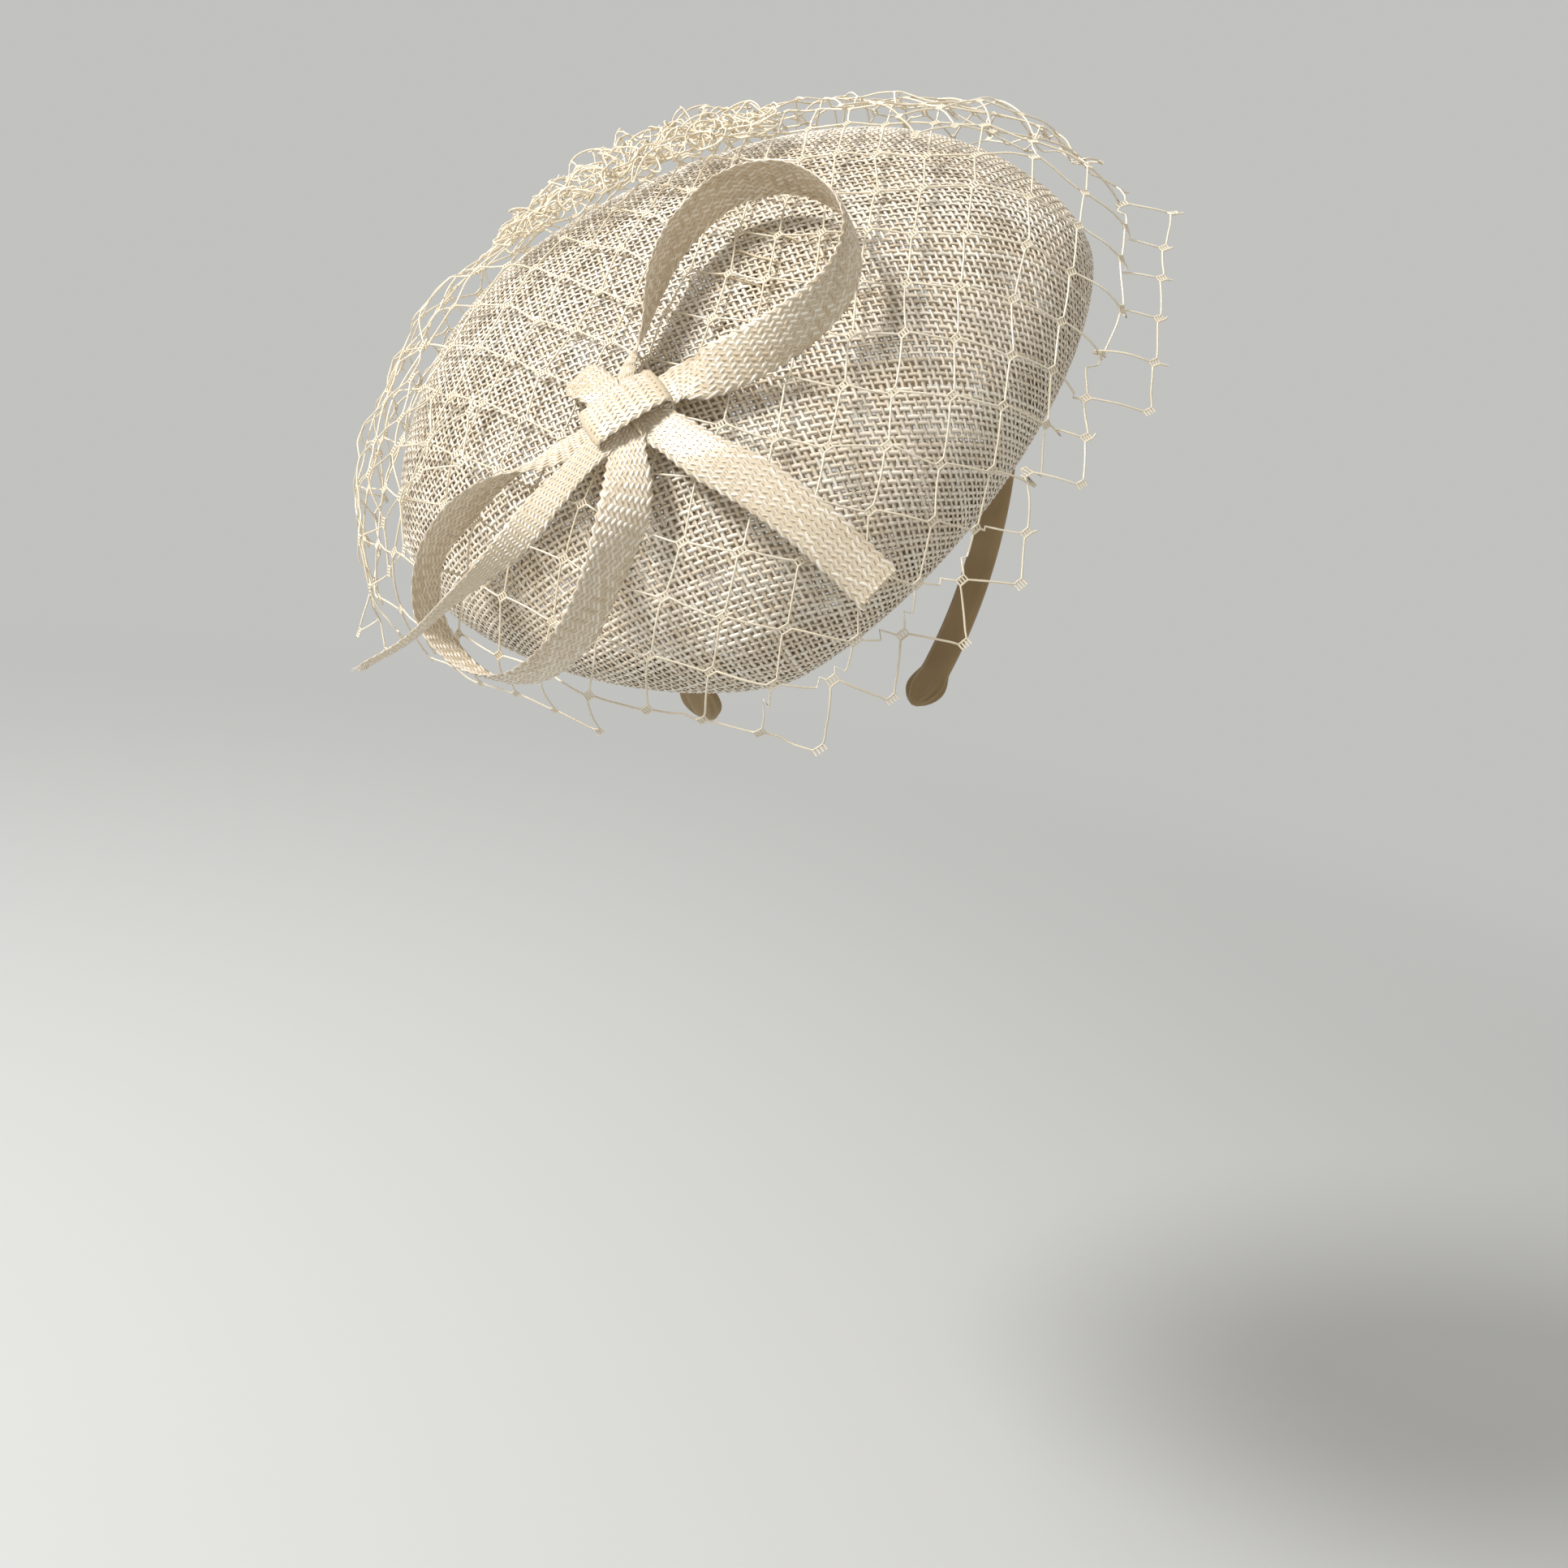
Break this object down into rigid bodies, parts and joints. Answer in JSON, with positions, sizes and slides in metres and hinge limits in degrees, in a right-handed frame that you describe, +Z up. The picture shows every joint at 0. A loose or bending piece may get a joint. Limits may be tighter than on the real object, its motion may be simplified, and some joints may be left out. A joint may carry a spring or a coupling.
{
  "type": "fascinator headpiece",
  "caption": "Egg-shaped woven straw fascinator with a birdcage net veil and a ribbon bow, sewn at a slant on a fabric-covered headband.",
  "frame": {"origin": "where the inside of the headband's arch rests on top of the head", "axes": "+Z up, the wearer faces -Y, +X to the wearer's left; the hat sits on the wearer's right"},
  "size_m": [0.1952, 0.1953, 0.1631],
  "materials": {
    "straw": "woven flat straw threads, stiffened, slight sheen",
    "straw_lining": "woven flat straw threads, stiffened, matte",
    "ribbon_straw": "braided straw ribbon, satin",
    "net_thread": "knotted net thread, slight sheen",
    "band_fabric": "fine wrapped cloth, matte",
    "petersham": "ribbed ribbon, matte",
    "sewing_thread": "twisted thread",
    "spring_steel": "satin",
    "millinery_wire": "satin"
  },
  "bodies": {
    "hat": {"band_core_crown_section": "spring_steel", "band_cover_crown_section": "band_fabric", "crown_shell": "straw", "crown_lining": "straw_lining", "rim_wire": "millinery_wire", "rim_wire_joiner": "millinery_wire", "rim_binding": "petersham", "sweatband": "petersham", "veil_net": "net_thread", "veil_gather": "net_thread", "bow_loop_upper": "ribbon_straw", "bow_loop_lower": "ribbon_straw", "bow_tail_right": "ribbon_straw", "bow_tail_left": "ribbon_straw", "bow_knot_tuck": "ribbon_straw", "bow_knot_wrap": "ribbon_straw", "bow_stitch": "sewing_thread", "crown_tack_stitch_1": "sewing_thread", "crown_tack_stitch_2": "sewing_thread", "crown_tack_stitch_3": "sewing_thread"},
    "arm_right": {"band_core_arm_right_side": "spring_steel", "band_cover_arm_right_side": "band_fabric", "band_end_right_side": "band_fabric"},
    "arm_left": {"band_core_arm_left_side": "spring_steel", "band_cover_arm_left_side": "band_fabric", "band_end_left_side": "band_fabric"}
  },
  "joints": [
    {"name": "arm_left_flex", "type": "hinge", "parent": "hat", "child": "arm_left", "pos_m": [0.0335, 0, -0.00546], "axis": [0, -1, 0], "range_deg": [0, 10], "stiffness_Nm_per_rad": 0.8},
    {"name": "arm_right_flex", "type": "hinge", "parent": "hat", "child": "arm_right", "pos_m": [-0.06157, 0, -0.03453], "axis": [0, 1, 0], "range_deg": [0, 2], "stiffness_Nm_per_rad": 0.8}
  ]
}
